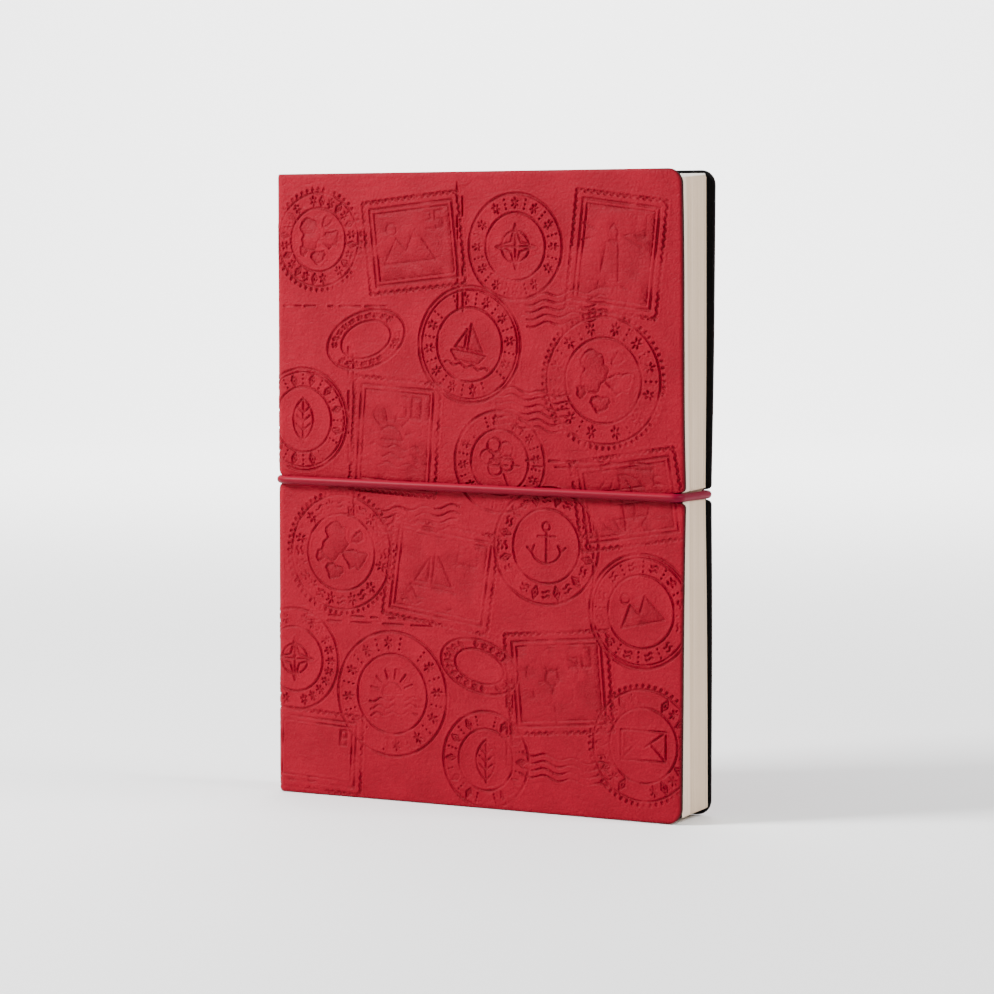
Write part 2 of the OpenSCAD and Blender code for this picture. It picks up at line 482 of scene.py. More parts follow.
def lay(q, z, depth):
    """The point of the book under the flat point (q, z), at that depth below the outside."""
    along = np.abs(q)
    turn = np.clip((along - FLAT) / SHOULDER, 0, math.pi / 2)
    x = SHOULDER - SHOULDER * np.cos(turn) + np.clip(along - FLAT - ARC, 0, None)
    y = SHOULDER - SHOULDER * np.sin(turn) + np.clip(FLAT - along, 0, None)
    near = cord_distance(x, y) * np.clip((DENT_END - x) / (DENT_END - DENT_FADES), 0, 1)
    near = near - FAR_INSIDE * np.clip((x - DENT_FADES) / (DENT_END - DENT_FADES), 0, 1)
    depth = depth + cord_dent(z, near)
    x, y = x + depth * np.cos(turn), y + depth * np.sin(turn)
    x = x + np.where(q > 0, FRONT_GAIN, BACK_GAIN) * (np.clip(x, 0, None) / WIDTH) ** 2
    y = np.where(q < 0, 2 * HALF - y, y)
    return spread(np.stack([x, y, np.broadcast_to(z, x.shape)], -1))


def cover_edge(z):
    """Where a cover ends at height z: round corners, and the notch that holds the cord."""
    from_end = np.minimum(z, HEIGHT - z)
    past = np.clip(CORNER - from_end, 0, None)
    corner = WIDTH - CORNER + np.sqrt(np.clip(CORNER**2 - past**2, 0, None))
    off = np.abs(z - MID_Z)
    bottom = NOTCH_X - np.sqrt(np.clip(NOTCH_R**2 - off**2, 0, None))
    share = np.clip((off - NOTCH_R) / (MOUTH - NOTCH_R), 0, 1)
    flare = WIDTH - FLARE + FLARE * np.sqrt(1 - (1 - share) ** 2)
    notch = np.where(off < NOTCH_R, bottom, flare)
    return np.minimum(corner, notch)


print(f"the notch is {WIDTH - float(cover_edge(MID_Z)):.1f} deep")

# %% [markdown]
# ## Grids, slabs and meshes
# Card and paper are thin sheets with a cut edge that shows. A plane with a Solidify modifier has
# such an edge, but its two sides can't be shaped apart. Here a slab is two grids of points with a
# rim between them, so each side has its own form and the piece is closed like a real sheet. `steps`
# chooses the lines of a grid: evenly spaced, but closer together at the places that need it.

# %% Choose the lines of a grid


def steps(start, end, pitch, fine=()):
    """Lines from start to end. fine holds (from, to, pitch) stretches that are closer together."""
    marks = [start]
    while marks[-1] < end - 1e-6:
        here = [p for a, b, p in fine if a - pitch / 2 <= marks[-1] < b]
        marks.append(min(marks[-1] + min([pitch, *here]), end))
    if len(marks) > 2 and marks[-1] - marks[-2] < 0.2 * pitch:
        marks.pop(-2)
    return np.array(marks)


def round_ends(start, end, pitch, radius, middle=()):
    """Lines from start to end, crowded at both ends so that a corner comes out round."""
    arc = radius * (1 - np.cos(np.linspace(0, math.pi / 2, 12)))
    straight = steps(start + radius, end - radius, pitch, middle)
    return np.concatenate([start + arc[:-1], straight, end - arc[-2::-1]])


print("lines that crowd in the middle:", steps(0, 10, 2, [(4, 6, 0.5)]))

# %% Join the grids into faces


def grid_faces(rows, columns, first=0, flip=False):
    """Four-sided faces between the points of a grid, as numbers of its points."""
    corner = first + np.arange(rows - 1)[:, None] * columns + np.arange(columns - 1)
    above = corner + columns
    quads = np.stack([corner, corner + 1, above + 1, above], -1).reshape(-1, 4)
    return quads[:, ::-1] if flip else quads


def rim_faces(rows, columns):
    """The faces that join the border of one grid to that of the next."""
    top = np.arange(rows * columns).reshape(rows, columns)
    loop = np.concatenate([top[0, :-1], top[:-1, -1], top[-1, :0:-1], top[:0:-1, 0]])
    following = np.roll(loop, -1)
    return np.stack([loop, loop + rows * columns, following + rows * columns, following], -1)


def slab_faces(rows, columns):
    """Faces of a closed slab whose outer grid comes first and whose inner grid comes second."""
    outer = grid_faces(rows, columns, flip=True)
    inner = grid_faces(rows, columns, rows * columns)
    return np.concatenate([outer, inner, rim_faces(rows, columns)[:, ::-1]])


print("a slab of 2 by 2 points has", len(slab_faces(2, 2)), "faces")

# %% Make an object of points and faces


def mesh_of(name, points, faces, material, smooth=50):
    """Makes an object from points of the book in millimetres. smooth is the sharpest soft edge."""
    moved = np.asarray(points, float).reshape(-1, 3) + (SPINE_X, -HALF, 0)
    mesh = bpy.data.meshes.new(name)
    faces = np.asarray(faces)
    mesh.vertices.add(len(moved))
    mesh.vertices.foreach_set("co", (moved * MM).astype(np.float32).ravel())
    mesh.loops.add(faces.size)
    mesh.loops.foreach_set("vertex_index", faces.astype(np.int32).ravel())
    mesh.polygons.add(len(faces))
    first_corners = np.arange(0, faces.size, faces.shape[1], dtype=np.int32)
    mesh.polygons.foreach_set("loop_start", first_corners)
    mesh.update(calc_edges=True)
    mesh.shade_smooth()
    mesh.set_sharp_from_angle(angle=math.radians(smooth))
    mesh.materials.append(material)
    made = bpy.data.objects.new(name, mesh)
    bpy.context.scene.collection.objects.link(made)
    return made


def outwards(made):
    """Turns every face of a closed mesh so that it looks outwards."""
    work = bmesh.new()
    work.from_mesh(made.data)
    bmesh.ops.recalc_face_normals(work, faces=work.faces)
    work.to_mesh(made.data)
    work.free()
    return made


def store(made, name, values):
    """Keeps one number for each point of the mesh, for the material to read."""
    layer = made.data.attributes.new(name, "FLOAT", "POINT")
    layer.data.foreach_set("value", np.asarray(values, np.float32))


def frame_point(x, y, z=0.0):
    """A point of the book as a point of the shared frame, in metres."""
    return ((x + SPINE_X) * MM, (y - HALF) * MM, z * MM)


print("the head of the spine is at", [round(v, 4) for v in frame_point(0, HALF, HEIGHT)], "metres")

# %% [markdown]
# ## Drawing with distances
# A heat-embossing plate is an engraved drawing. It could be cut into the cover with booleans, but
# thousands of thin cuts are slow and leave hard edges. Here a drawing is a list of strokes, and
# each stroke is a chain of points in millimetres. `Plate` holds the height of the flat sheet and
# presses strokes into it: the distance from every point of the sheet to the nearest stroke gives a
# soft groove with a small raised lip, which is how warm plastic flows round an engraved line.

# %% Chains of points


def turned(points, angle):
    """Points turned about (0, 0), in degrees."""
    c, s = math.cos(math.radians(angle)), math.sin(math.radians(angle))
    return np.asarray(points, float) @ np.array([[c, s], [-s, c]])


def arc(radius, start=0, end=360, centre=(0, 0), count=None):
    """A chain of points along an arc, closer together where the radius is small."""
    count = count or max(8, int(abs(end - start) / 360 * (12 + 6 * radius)))
    a = np.radians(np.linspace(start, end, count + 1))
    return np.stack([radius * np.cos(a), radius * np.sin(a)], -1) + centre


def outline(*points):
    """A closed chain: the first point comes again at the end."""
    return np.array([*points, points[0]], float)


def ellipse(wide, high, centre=(0, 0)):
    return arc(1) * (wide, high) + centre


print("an arc of radius 10 has", len(arc(10)), "points")

# %% The embossing plate


def soft_noise(q, z, cell, seed):
    """Smooth patches from 0 to 1 on the flat sheet, about one cell wide."""
    field = np.random.default_rng(seed).random((128, 128))
    u, v = q / cell % 128, z / cell % 128
    i, j = u.astype(int), v.astype(int)
    a, b = ((t - t.astype(int)) for t in (u, v))
    a, b = a * a * (3 - 2 * a), b * b * (3 - 2 * b)
    i2, j2 = (i + 1) % 128, (j + 1) % 128
    low = field[i % 128, j % 128] * (1 - a) + field[i2, j % 128] * a
    high = field[i % 128, j2] * (1 - a) + field[i2, j2] * a
    return low * (1 - b) + high * b


class Plate:
    """The flat sheet as a height field, pressed by strokes and fills."""

    groove = 0.41
    lip = 0.09
    shallow = 0.34

    def __init__(self, q, z):
        self.q, self.z = q, z
        self.line = np.zeros(q.shape)
        self.edge = np.zeros(q.shape)
        self.area = np.zeros(q.shape)

    def window(self, points, margin):
        """The part of the sheet near the points."""
        low, high = points.min(0) - margin, points.max(0) + margin
        columns = np.flatnonzero((self.q.max(0) > low[0]) & (self.q.min(0) < high[0]))
        rows = np.flatnonzero((self.z[:, 0] > low[1]) & (self.z[:, 0] < high[1]))
        if not len(columns) or not len(rows):
            return None
        return slice(rows[0], rows[-1] + 1), slice(columns[0], columns[-1] + 1)

    def stroke(self, points, width):
        """Presses a line of that width along a chain of points."""
        points = np.asarray(points, float)
        part = self.window(points, 1.2)
        if part is None:
            return
        here = np.stack([self.q[part], self.z[part]], -1).reshape(-1, 2)
        nearest = np.full(len(here), 1e9)
        for a, b in zip(points[:-1], points[1:]):
            run = b - a
            near = np.flatnonzero(np.abs(here - (a + b) / 2).max(1) < np.abs(run).max() / 2 + 1.3)
            to = here[near] - a
            share = np.clip(to @ run / max(run @ run, 1e-9), 0, 1)
            gap = ((to - share[:, None] * run) ** 2).sum(1)
            nearest[near] = np.minimum(nearest[near], gap)
        gap = np.sqrt(nearest).reshape(self.q[part].shape)
        press = np.clip((width / 2 + 0.18 - gap) / 0.34, 0, 1)
        press = press * press * (3 - 2 * press)
        edge = np.exp(-(((gap - width / 2 - 0.3) / 0.28) ** 2))
        self.line[part] = np.maximum(self.line[part], press)
        self.edge[part] = np.maximum(self.edge[part], edge)

    def fill(self, points):
        """Presses the inside of a closed outline by a shallow amount."""
        points = np.asarray(points, float)
        part = self.window(points, 0.5)
        if part is None:
            return
        q, z = self.q[part], self.z[part]
        inside = np.zeros(q.shape, bool)
        for (x0, y0), (x1, y1) in zip(points[:-1], points[1:]):
            if y0 != y1:
                crosses = (y0 > z) != (y1 > z)
                inside ^= crosses & (q < (x1 - x0) * (z - y0) / (y1 - y0) + x0)
        self.area[part] = np.maximum(self.area[part], inside)

    def pressed(self):
        """How deep each point is pressed, 0 to 1, with the uneven pressure of a large plate."""
        uneven = soft_noise(self.q, self.z, 9, 3) * 0.6 + soft_noise(self.q, self.z, 3.1, 4) * 0.5
        force = np.clip(2.6 * uneven - 0.85, 0.1, 0.82)
        return np.maximum(self.line * force, self.area * self.shallow * force)

    def height(self):
        """The height of the sheet in millimetres: grooves below 0 and their lips above it."""
        pressed = self.pressed()
        raised = self.edge * (1 - self.line) * (1 - self.area)
        return raised * self.lip - pressed * self.groove


print("a groove is", Plate.groove, "deep with a lip of", Plate.lip)

# %% [markdown]
# ## Motifs
# The cover shows generic postal marks. None of them holds letters: between the rings of a postmark
# stand dots, stars, waves and diamonds, two kinds in turn. The stamps carry plain numerals, and the
# pictures are simple signs such as a lighthouse or an anchor. A motif returns strokes and fills
# round (0, 0). It could be drawn once as a curve object, but a function of its size keeps each
# stroke the same width at any scale, as an engraver's tool does.

# %% Pictures: globe, mountains, boat and compass


def scaled(s, *points):
    """Points given as shares of s, the half size of a picture."""
    return [(x * s, y * s) for x, y in points]


def globe(s):
    lines = [arc(s), ellipse(0.45 * s, s), [(0, -s), (0, s)]]
    for h in (-0.5, 0, 0.5):
        half = s * math.sqrt(1 - h * h)
        lines.append([(-half, h * s), (half, h * s)])
    return lines, []


def mountains(s):
    far = outline(*scaled(s, (-1, -0.5), (-0.45, 0.35), (-0.1, -0.1), (0.3, 0.6), (1, -0.5)))
    snow = outline(*scaled(s, (0.3, 0.6), (0.08, 0.25), (0.28, 0.32), (0.4, 0.2), (0.52, 0.24)))
    return [far, arc(0.2 * s, centre=(-0.6 * s, 0.65 * s))], [far, snow]


def boat(s):
    hull = outline(*scaled(s, (-0.8, -0.35), (-0.5, -0.7), (0.5, -0.7), (0.8, -0.35)))
    sail = outline(*scaled(s, (-0.05, -0.2), (-0.05, 0.85), (0.65, -0.2)))
    jib = outline(*scaled(s, (-0.2, -0.2), (-0.2, 0.6), (-0.65, -0.2)))
    swell = -0.88 * s + 0.06 * s * np.sin(np.linspace(0, 22, 30))
    sea = np.stack([np.linspace(-s, s, 30), swell], -1)
    return [hull, sail, jib, sea], [hull, sail]


def compass(s):
    points = []
    for k in range(8):
        turn = k * math.pi / 4
        points.append((s if k % 2 == 0 else 0.32 * s) * np.array([math.sin(turn), math.cos(turn)]))
    north = outline(points[0], points[1], (0, 0), points[7])
    return [outline(*points), arc(0.7 * s), [(0, -s), (0, s)], [(-s, 0), (s, 0)]], [north]


print("a compass takes", len(compass(1)[0]), "strokes")

# %% Pictures: leaf, anchor, flower and lighthouse


def leaf(s):
    right = arc(1.15 * s, -58, 58, (-0.62 * s, 0))
    left = arc(1.15 * s, 122, 238, (0.62 * s, 0))
    veins = [[(0, -1.1 * s), (0, 0.95 * s)]]
    for h in (-0.5, -0.1, 0.3):
        veins += [[(0, h * s), (side * 0.36 * s, (h + 0.3) * s)] for side in (-1, 1)]
    return [outline(*right, *left), *veins], []


def anchor(s):
    arms = arc(0.7 * s, 200, 340)
    tips = []
    for end, way in ((arms[0], -1), (arms[-1], 1)):
        tips.append([end + (way * 0.22 * s, 0.2 * s), end, end + (way * -0.12 * s, 0.28 * s)])
    shank, stock = scaled(s, (0, 0.63), (0, -0.7)), scaled(s, (-0.4, 0.4), (0.4, 0.4))
    return [arc(0.17 * s, centre=(0, 0.8 * s)), shank, stock, arms, *tips], []


def flower(s):
    petals = []
    for a in np.radians(range(90, 450, 72)):
        middle = 0.55 * s * np.array([math.cos(a), math.sin(a)]) + (0, 0.25 * s)
        petals.append(arc(0.36 * s, centre=middle))
    heart = arc(0.24 * s, centre=(0, 0.25 * s))
    return [*petals, heart, scaled(s, (0, -0.5), (0.05, -1.2))], [heart]


def lighthouse(s):
    tower = outline(*scaled(s, (-0.34, -0.9), (-0.2, 0.45), (0.2, 0.45), (0.34, -0.9)))
    lamp = outline(*scaled(s, (-0.15, 0.5), (-0.15, 0.8), (0, 1), (0.15, 0.8), (0.15, 0.5)))
    band = outline(*scaled(s, (-0.25, 0), (0.25, 0), (0.29, -0.4), (-0.29, -0.4)))
    beams = [scaled(s, (d * 0.3, 0.66), (d, 0.66 + t)) for d in (-1, 1) for t in (-0.25, 0.25)]
    rocks = scaled(s, (-1, -0.9), (-0.6, -0.72), (-0.3, -0.95), (0.4, -0.8), (1, -0.95))
    return [tower, lamp, *beams, rocks], [band, lamp]


print("a flower takes", len(flower(1)[0]), "strokes")

# %% Pictures: envelope, islands and sunrise


def envelope(s):
    body = outline(*scaled(s, (-1, -0.6), (-1, 0.6), (1, 0.6), (1, -0.6)))
    flap = scaled(s, (-1, 0.6), (0, -0.1), (1, 0.6))
    folds = [scaled(s, (side, -0.6), (side * 0.3, 0.1)) for side in (-1, 1)]
    return [body, flap, *folds], []


ISLANDS = (
    (-0.3, 0.25, 0.46),
    (0.5, -0.05, 0.3),
    (-0.1, -0.62, 0.22),
    (0.45, 0.6, 0.16),
    (-0.68, -0.3, 0.13),
)


def islands(s, seed=5):
    """A made-up sea chart: a few invented coasts inside a ring."""
    rng = np.random.default_rng(seed)
    a = np.linspace(0, 2 * math.pi, 49)[:-1]
    coasts = []
    for x, y, r in ISLANDS:
        wobble = 0
        for k in (2, 3, 5, 8, 13):
            wobble = wobble + rng.uniform(0.12, 0.4) / k**0.6 * np.sin(k * a + rng.uniform(0, 6))
        away = (r * s * (1 + wobble))[:, None]
        coasts.append(outline(*(away * np.stack([np.cos(a), np.sin(a)], -1) + (x * s, y * s))))
    return coasts, coasts


def sunrise(s):
    """A sun with rays over three waves."""
    sun = outline(*arc(0.42 * s, 0, 180))
    rays = []
    for a in np.radians((20, 48, 76, 104, 132, 160)):
        rays.append([(r * s * math.cos(a), r * s * math.sin(a)) for r in (0.6, 0.95)])
    x = np.linspace(-s, s, 30)
    waves = [(0.07 * np.sin(x * 9 / s + k) - 0.2 - 0.27 * k) * s for k in range(3)]
    return [sun, *rays, *(np.stack([x, wave], -1) for wave in waves)], [sun]


print("a sunrise takes", len(sunrise(1)[0]), "strokes")

# %% Numerals and small signs
DIGITS = {
    "0": [[(0, 0), (0, 2), (1, 2), (1, 0), (0, 0)]],
    "2": [[(0, 2), (1, 2), (1, 1), (0, 1), (0, 0), (1, 0)]],
    "5": [[(1, 2), (0, 2), (0, 1), (1, 1), (1, 0), (0, 0)]],
    "8": [[(0, 0), (0, 2), (1, 2), (1, 0), (0, 0)], [(0, 1), (1, 1)]],
}


def numeral(text, size):
    """Plain square numerals, size high, side by side."""
    lines = []
    for k, digit in enumerate(text):
        lines += [(np.array(chain, float) + (1.6 * k, 0)) * size / 2 for chain in DIGITS[digit]]
    return lines


def ornaments(size):
    """Small signs that stand where a postmark would have letters."""
    s = size
    rays = [(math.sin(t), math.cos(t)) for t in np.radians(range(0, 360, 60))]
    across = np.linspace(-0.6 * s, 0.6 * s, 9)
    wave = np.stack([across, 0.2 * s * np.sin(across * 5 / s)], -1)
    return (
        [outline((0, -s), (0.5 * s, 0), (0, s), (-0.5 * s, 0)), [(0, -0.3 * s), (0, 0.3 * s)]],
        [[(0.55 * s * x, 0.8 * s * y), (-0.55 * s * x, -0.8 * s * y)] for x, y in rays[:3]],
        [[(0, h * s - 0.1), (0, h * s + 0.1)] for h in (-0.75, 0, 0.75)],
        [wave - (0, 0.35 * s), wave + (0, 0.35 * s)],
        [[(0.3 * s * x, 0.4 * s * y), (0.6 * s * x, 0.85 * s * y)] for x, y in rays],
    )


print("kinds of small sign:", len(ornaments(1)))

# %% Postmarks


def postmark(radius, picture, seed, oval=1.0, edge="ring"):
    """Two rings with ornaments between them, and a picture in the middle."""
    rng = np.random.default_rng(seed)
    inner = 0.64 * radius
    lines = [(arc(inner), 0.5)]
    if edge == "beads":
        lines.append((arc(radius - 0.8), 0.55))
        for a in np.arange(0, 2 * math.pi, 1.75 / radius):
            bead = radius * np.array([math.cos(a), math.sin(a)])
            lines.append((np.array([bead, bead * 1.02]), 0.75))
    else:
        lines.append((arc(radius), 0.65))
    if edge == "double":
        lines.append((arc(radius - 1.0), 0.4))
    size = 0.115 * radius
    middle = (radius + inner) / 2 - (0.0 if edge == "ring" else 0.4)
    count = 2 * int(math.pi * middle / (1.75 * size))
    signs = [ornaments(size)[k] for k in rng.permutation(5)[:2]]
    gap = rng.uniform()
    for k in range(count):
        if (2 * k / count + gap) % 1 < 0.1:
            continue
        for chain in signs[k % 2]:
            lines.append((turned(np.asarray(chain) + (0, middle), 360 * k / count), 0.42))
    drawn, fills = [], []
    if picture:
        drawn, fills = picture((0.86 if picture is islands else 0.66) * inner)
    lines += [(chain, 0.48) for chain in drawn]
    squeeze = (1.0, oval)
    fills = [np.asarray(chain) * squeeze for chain in fills]
    return [(np.asarray(chain) * squeeze, width) for chain, width in lines], fills


print("a postmark takes", len(postmark(14, compass, 3)[0]), "strokes")

# %% Stamps


def perforated(width, height, pitch=1.9, bite=0.5):
    """The edge of a stamp: a rectangle with half-round bites."""
    chain = []
    corners = [(x * width / 2, y * height / 2) for x, y in ((-1, -1), (1, -1), (1, 1), (-1, 1))]
    for a, b in zip(corners, corners[1:] + corners[:1]):
        a, b = np.array(a), np.array(b)
        run = b - a
        length = np.hypot(*run)
        run, inward = run / length, np.array([-run[1], run[0]]) / length
        count = int(length / pitch)
        for k in range(count):
            middle = a + run * (k + 0.5) * length / count
            chain.append(middle - run * bite * 1.25)
            for t in np.radians((180, 135, 90, 45, 0)):
                chain.append(middle + run * bite * math.cos(t) + inward * bite * math.sin(t))
            chain.append(middle + run * bite * 1.25)
    return outline(*chain)


def stamp(width, height, picture, value="", sunk=True):
    """A perforated stamp with a double inner frame, a picture and a plain numeral."""
    w, h = width / 2 - 2.2, height / 2 - 2.2
    frames = [
        outline((-w + gap, -h + gap), (w - gap, -h + gap), (w - gap, h - gap), (-w + gap, h - gap))
        for gap in (0, 1.3)
    ]
    lines = [(perforated(width, height), 0.55), (frames[0], 0.6), (frames[1], 0.38)]
    fills = []
    if picture:
        drawn, filled = picture(0.78 * min(w, h))
        shift = np.array((-0.14 * w, -0.08 * h))
        lines += [(np.asarray(c) + shift, 0.48) for c in drawn]
        fills += [np.asarray(c) + shift for c in filled]
    if sunk:
        fills.append(frames[1])
    if value:
        size = 0.18 * height
        place = np.array((w - 0.85 * size * len(value) - 1.6, h - size - 2.4))
        lines += [(np.asarray(c) + place, 0.6) for c in numeral(value, size)]
    return lines, fills


print("a stamp takes", len(stamp(30, 25, mountains, "25")[0]), "strokes")

# %% Cancel lines and worn dashes


def cancel_lines(length, count=5, swing=0.55):
    """Wavy lines side by side, 1.9 mm apart."""
    x = np.linspace(-length / 2, length / 2, int(length * 1.5))
    waves = [swing * np.sin(x * 0.75) + (k - count / 2) * 1.9 for k in range(count)]
    return [(np.stack([x, wave], -1), 0.42) for wave in waves], []


def dashes(length, seed, rows=1, pitch=1.6):
    """Broken straight lines, as a worn plate leaves where two drawings meet."""
    rng = np.random.default_rng(seed)
    lines = []
    for row in range(rows):
        at = -length / 2
        while at < length / 2:
            run = rng.uniform(1.5, 7)
            ends = np.array([(at, row * pitch), (min(at + run, length / 2), row * pitch)])
            lines.append((ends, rng.uniform(0.35, 0.6)))
            at += run + rng.uniform(0.8, 5)
    return lines, []


print("a worn line breaks into", len(dashes(34, 27)[0]), "dashes")

# %% [markdown]
# ## The drawing on the cover
# The marks overlap as if the cover had been through the post many times. They could be scattered by
# chance, but then some parts would crowd and others stay bare, so each has its place in a list.
# Positions are on the flat sheet, and the same list wraps over the spine. Some marks run off the
# edges and round the shoulder, as they do when a roll of embossed sheet is cut to size.

# %% Place every motif
FACE_Q = FLAT + ARC - SHOULDER


def drawing():
    """Every motif with its place (q, z) and its turn in degrees."""
    f = FACE_Q
    yield f + 14, 152, 8, postmark(13.5, islands, 1, edge="beads")
    yield f + 44, 151, 6, stamp(30, 25, mountains, "25")
    yield f + 75, 150, 0, postmark(14, compass, 3)
    yield f + 105, 148, -7, stamp(27, 31, lighthouse, "8")
    yield f + 90, 135, 5, cancel_lines(24, 5)
    yield f + 61, 124, -10, postmark(15.5, boat, 2, edge="double")
    yield f + 29, 125, 18, postmark(12.5, None, 5, 0.6)
    yield f + 101, 115, 0, postmark(17.5, islands, 4, edge="beads")
    yield f + 80, 108, -6, cancel_lines(22, 6)
    yield f + 9, 103, 0, postmark(14, leaf, 7, edge="double")
    yield f + 38, 99, -4, stamp(27, 31, sunrise, "50")
    yield f + 70, 93, 20, postmark(13.5, flower, 6)
    yield f + 108, 84, 9, stamp(31, 24, globe, "2")
    yield f + 84, 71, 0, postmark(15.5, anchor, 8)
    yield f + 21, 67, -15, postmark(16.5, islands, 9, edge="beads")
    yield f + 52, 62, -8, stamp(33, 27, boat, "25")
    yield f + 45, 78, 4, cancel_lines(26, 4)
    yield f + 112, 55, 12, postmark(15, mountains, 10, edge="double")
    yield f + 6, 37, 0, postmark(14, compass, 11)
    yield f + 37, 29, 5, postmark(17, sunrise, 12)
    yield f + 64, 38, -15, postmark(12, None, 14, 0.58)
    yield f + 88, 35, 5, stamp(31, 27, flower, "50")
    yield f + 113, 20, 0, postmark(15.5, envelope, 16, edge="beads")
    yield f + 66, 13, 0, postmark(13, leaf, 18)
    yield f + 90, 13, -3, cancel_lines(26, 4)
    yield f + 13, 12, -3, stamp(29, 22, None, "8", False)
    yield f + 59, 150, 90, dashes(34, 21, 2)
    yield f + 25, 100, 90, dashes(46, 22, 2)
    yield f + 92, 92, 0, dashes(50, 23, 2)
    yield f + 30, 48, 0, dashes(40, 24, 2)
    yield f + 98, 66, 90, dashes(30, 25, 1)
    yield f + 74, 24, 90, dashes(24, 26, 2)
    yield f + 20, 134, 0, dashes(34, 27, 1)
    yield -f - 30, 148, 0, postmark(16, compass, 13, edge="double")
    yield -f - 66, 144, -6, stamp(32, 26, boat, "8")
    yield -f - 102, 147, 0, postmark(15, sunrise, 14)
    yield -f - 10, 118, 0, postmark(14, islands, 15, edge="beads")
    yield -f - 86, 120, 8, cancel_lines(30, 6)
    yield -f - 38, 112, 12, stamp(27, 31, flower, "25")
    yield -f - 68, 112, 0, postmark(15, lighthouse, 16)
    yield -f - 108, 108, 0, postmark(15, islands, 17, edge="beads")
    yield -f - 12, 78, 0, postmark(13, globe, 17)
    yield -f - 42, 76, -12, postmark(13, None, 19, 0.58)
    yield -f - 82, 80, 0, postmark(16.5, mountains, 18, edge="double")
    yield -f - 110, 66, 5, stamp(26, 24, leaf, "2", False)
    yield -f - 62, 46, 7, stamp(32, 26, lighthouse, "50")
    yield -f - 26, 38, 0, postmark(16.5, boat, 20, edge="beads")
    yield -f - 98, 30, -4, postmark(16.5, leaf, 21)
    yield -f - 66, 15, 3, cancel_lines(30, 5)
    yield -f - 30, 10, -4, stamp(30, 22, None, "5", False)
    yield -f - 54, 128, 90, dashes(40, 31, 2)
    yield -f - 60, 92, 0, dashes(70, 32, 2)
    yield -f - 82, 28, 90, dashes(36, 33, 2)


print("motifs:", sum(1 for _ in drawing()))

# %% Press the drawing into the sheet


def emboss(q, z):
    """The height of the sheet and how deep it is pressed, at every flat point."""
    plate = Plate(q, z)
    for at_q, at_z, angle, (lines, fills) in drawing():
        for chain, width in lines:
            plate.stroke(turned(chain, angle) + (at_q, at_z), width)
        for chain in fills:
            plate.fill(turned(chain, angle) + (at_q, at_z))
    return plate.height(), plate.pressed()


sample = np.meshgrid(np.arange(80, 100, 0.5), np.arange(60, 80, 0.5))
print("share of a sample that is pressed:", round(float((emboss(*sample)[1] > 0.04).mean()), 2))

# %% [markdown]
# ## The leatherette wrap
# The real wrap is one sheet, and it bends in two places when the album opens. Here each half of the
# sheet is a mesh of its own, from the middle of the spine to a fore-edge. The relief could be left
# to a displacement texture, but real points keep the grooves true in every light and in any export
# of the mesh.
#
# The edges of the sheet roll inwards a little. The cut fore-edge is painted darker, partly as a
# darker cut edge and partly as painted shade. A strip just below the cord is painted darker as the
# cord's shadow. The fine grid is then thinned where the sheet is flat, which leaves the triangles in
# the embossed lines.

# %% Pull the grid to the edge of the cover
# The last columns of the grid are PULLED to the edge. There the sheet rolls in by ROLL_DEEP over
# ROLL_WIDE and is painted darker over CUT_DARK, partly as a darker cut edge and partly as painted
# shade. The painted shadow of the cord is CORD_SHADOW_WIDE wide and lies CORD_SHADOW_BELOW its
# middle.
SHEET_T = 0.5
PULLED = 12
ROLL_DEEP, ROLL_WIDE = 0.34, 1.15
CUT_DARK = 0.85
CORD_SHADOW_BELOW, CORD_SHADOW_WIDE = 1.3, 0.75
FINE = 0.26
NEAR_CORD = (MID_Z - 2.6, MID_Z + 4.2, min(FINE, 0.13))
TRIANGLES = 290_000


def to_edge(q, z):
    """Pulls the last columns of the grid to the real edge of the cover."""
    q, z = np.broadcast_arrays(q, z[:, None])
    x = q - FACE_Q
    start = WIDTH - PULLED
    share = np.clip((x - start) / (WIDTH - start), 0, 1)
    pulled = np.where(x > start, start + share * (cover_edge(z) - start), x)
    return pulled + FACE_Q, z


print("the grid of the wrap has a pitch of", FINE)

# %% Thin the grid where it is flat


def thin(made, triangles):
    """Collapses edges of a mesh of quads until about that many triangles are left."""
    before = 2 * len(made.data.polygons)
    modifier = made.modifiers.new("thin", "DECIMATE")
    modifier.ratio = min(1.0, triangles / before)
    graph = bpy.context.evaluated_depsgraph_get()
    mesh = bpy.data.meshes.new_from_object(made.evaluated_get(graph))
    made.modifiers.clear()
    made.data = mesh
    mesh.shade_smooth()
    mesh.set_sharp_from_angle(angle=math.radians(58))
    print(f"{made.name}: {before} triangles thinned to {len(mesh.polygons)} faces")

# %% Unfold the sheet as its texture map


